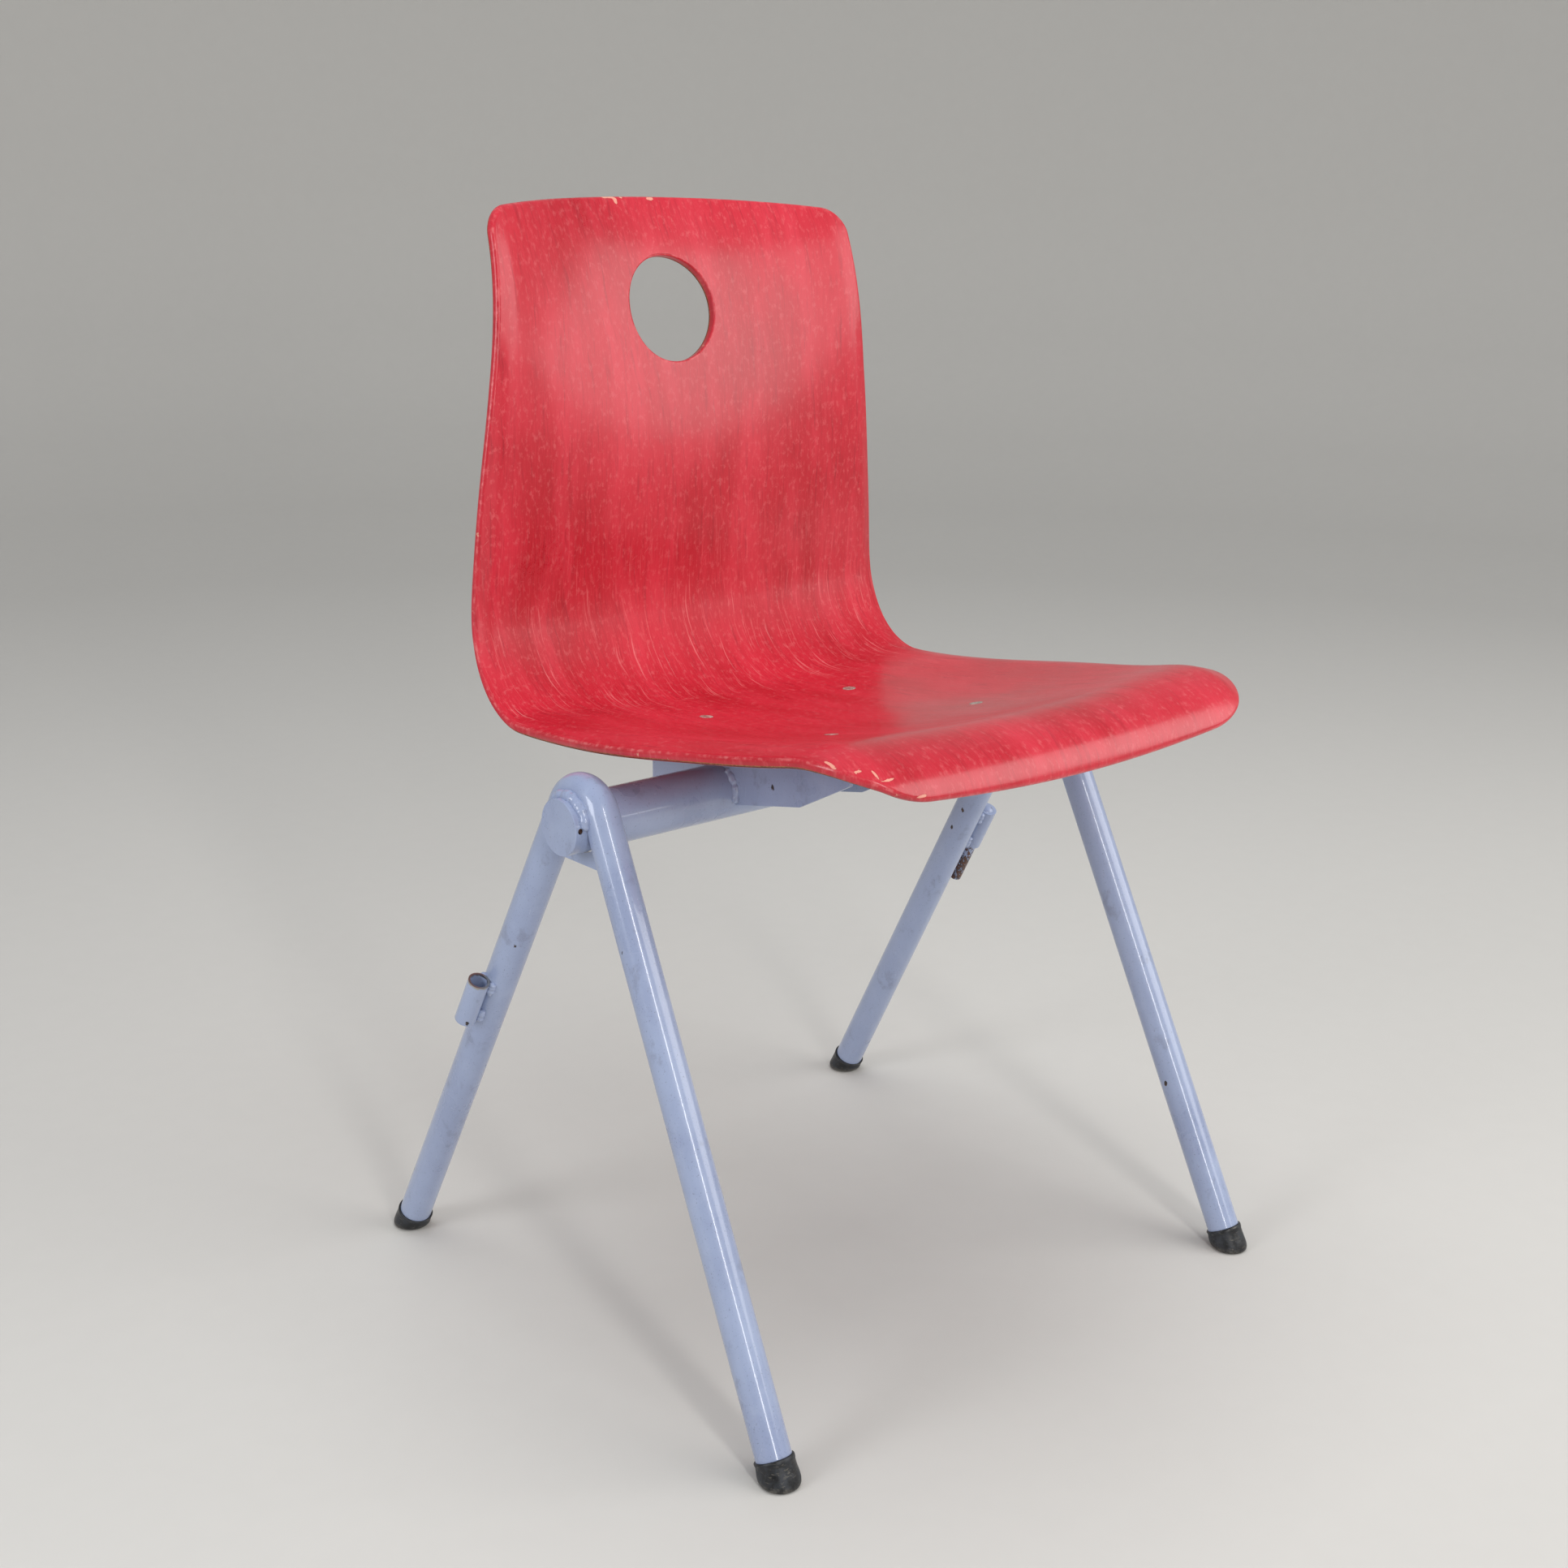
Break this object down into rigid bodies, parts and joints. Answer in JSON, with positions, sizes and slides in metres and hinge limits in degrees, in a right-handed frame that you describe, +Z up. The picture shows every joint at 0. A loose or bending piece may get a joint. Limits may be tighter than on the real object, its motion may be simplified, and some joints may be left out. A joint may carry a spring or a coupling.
{
  "type": "student desk chair",
  "caption": "Stacking school chair: a one-piece pressed-plywood seat and back with a hand hole, on two bent-tube A-shaped leg frames joined by a crossbar.",
  "frame": {"origin": "on the floor, under the middle of the chair; the crossbar's axis is straight above it", "axes": "+Z up; the sitter faces -Y, so +Y is to the rear, +X is the sitter's left and -X the sitter's right"},
  "size_m": [0.5253, 0.4905, 0.804],
  "materials": {
    "lacquered_veneer": "glossy red-stained beech veneer, worn to bare wood at the edges",
    "frame_enamel": "glossy blue-grey enamel on steel, chipped in places",
    "foot_rubber": "black, scuffed, semi-gloss",
    "bare_steel": "plated steel, worn",
    "dark_steel": "dark, slightly rusty steel"
  },
  "bodies": {
    "root": {"seat_shell": "lacquered_veneer", "crossbar": "frame_enamel", "leg_frame_left": "frame_enamel", "leg_frame_right": "frame_enamel", "end_cap_left": "frame_enamel", "end_cap_right": "frame_enamel", "gusset_left": "frame_enamel", "gusset_right": "frame_enamel", "linking_socket": "frame_enamel", "linking_pin_holder": "frame_enamel", "linking_pin": "frame_enamel", "seat_bracket_left": "frame_enamel", "seat_bracket_right": "frame_enamel", "frame_welds": "frame_enamel", "bracket_welds": "frame_enamel", "linking_welds": "frame_enamel", "foot_front_left": "foot_rubber", "foot_front_right": "foot_rubber", "foot_rear_left": "foot_rubber", "foot_rear_right": "foot_rubber", "seat_bolts": "bare_steel", "bolt_washers": "bare_steel", "lock_nuts": "bare_steel", "cap_pin_left": "dark_steel", "cap_pin_right": "dark_steel"}
  },
  "joints": []
}
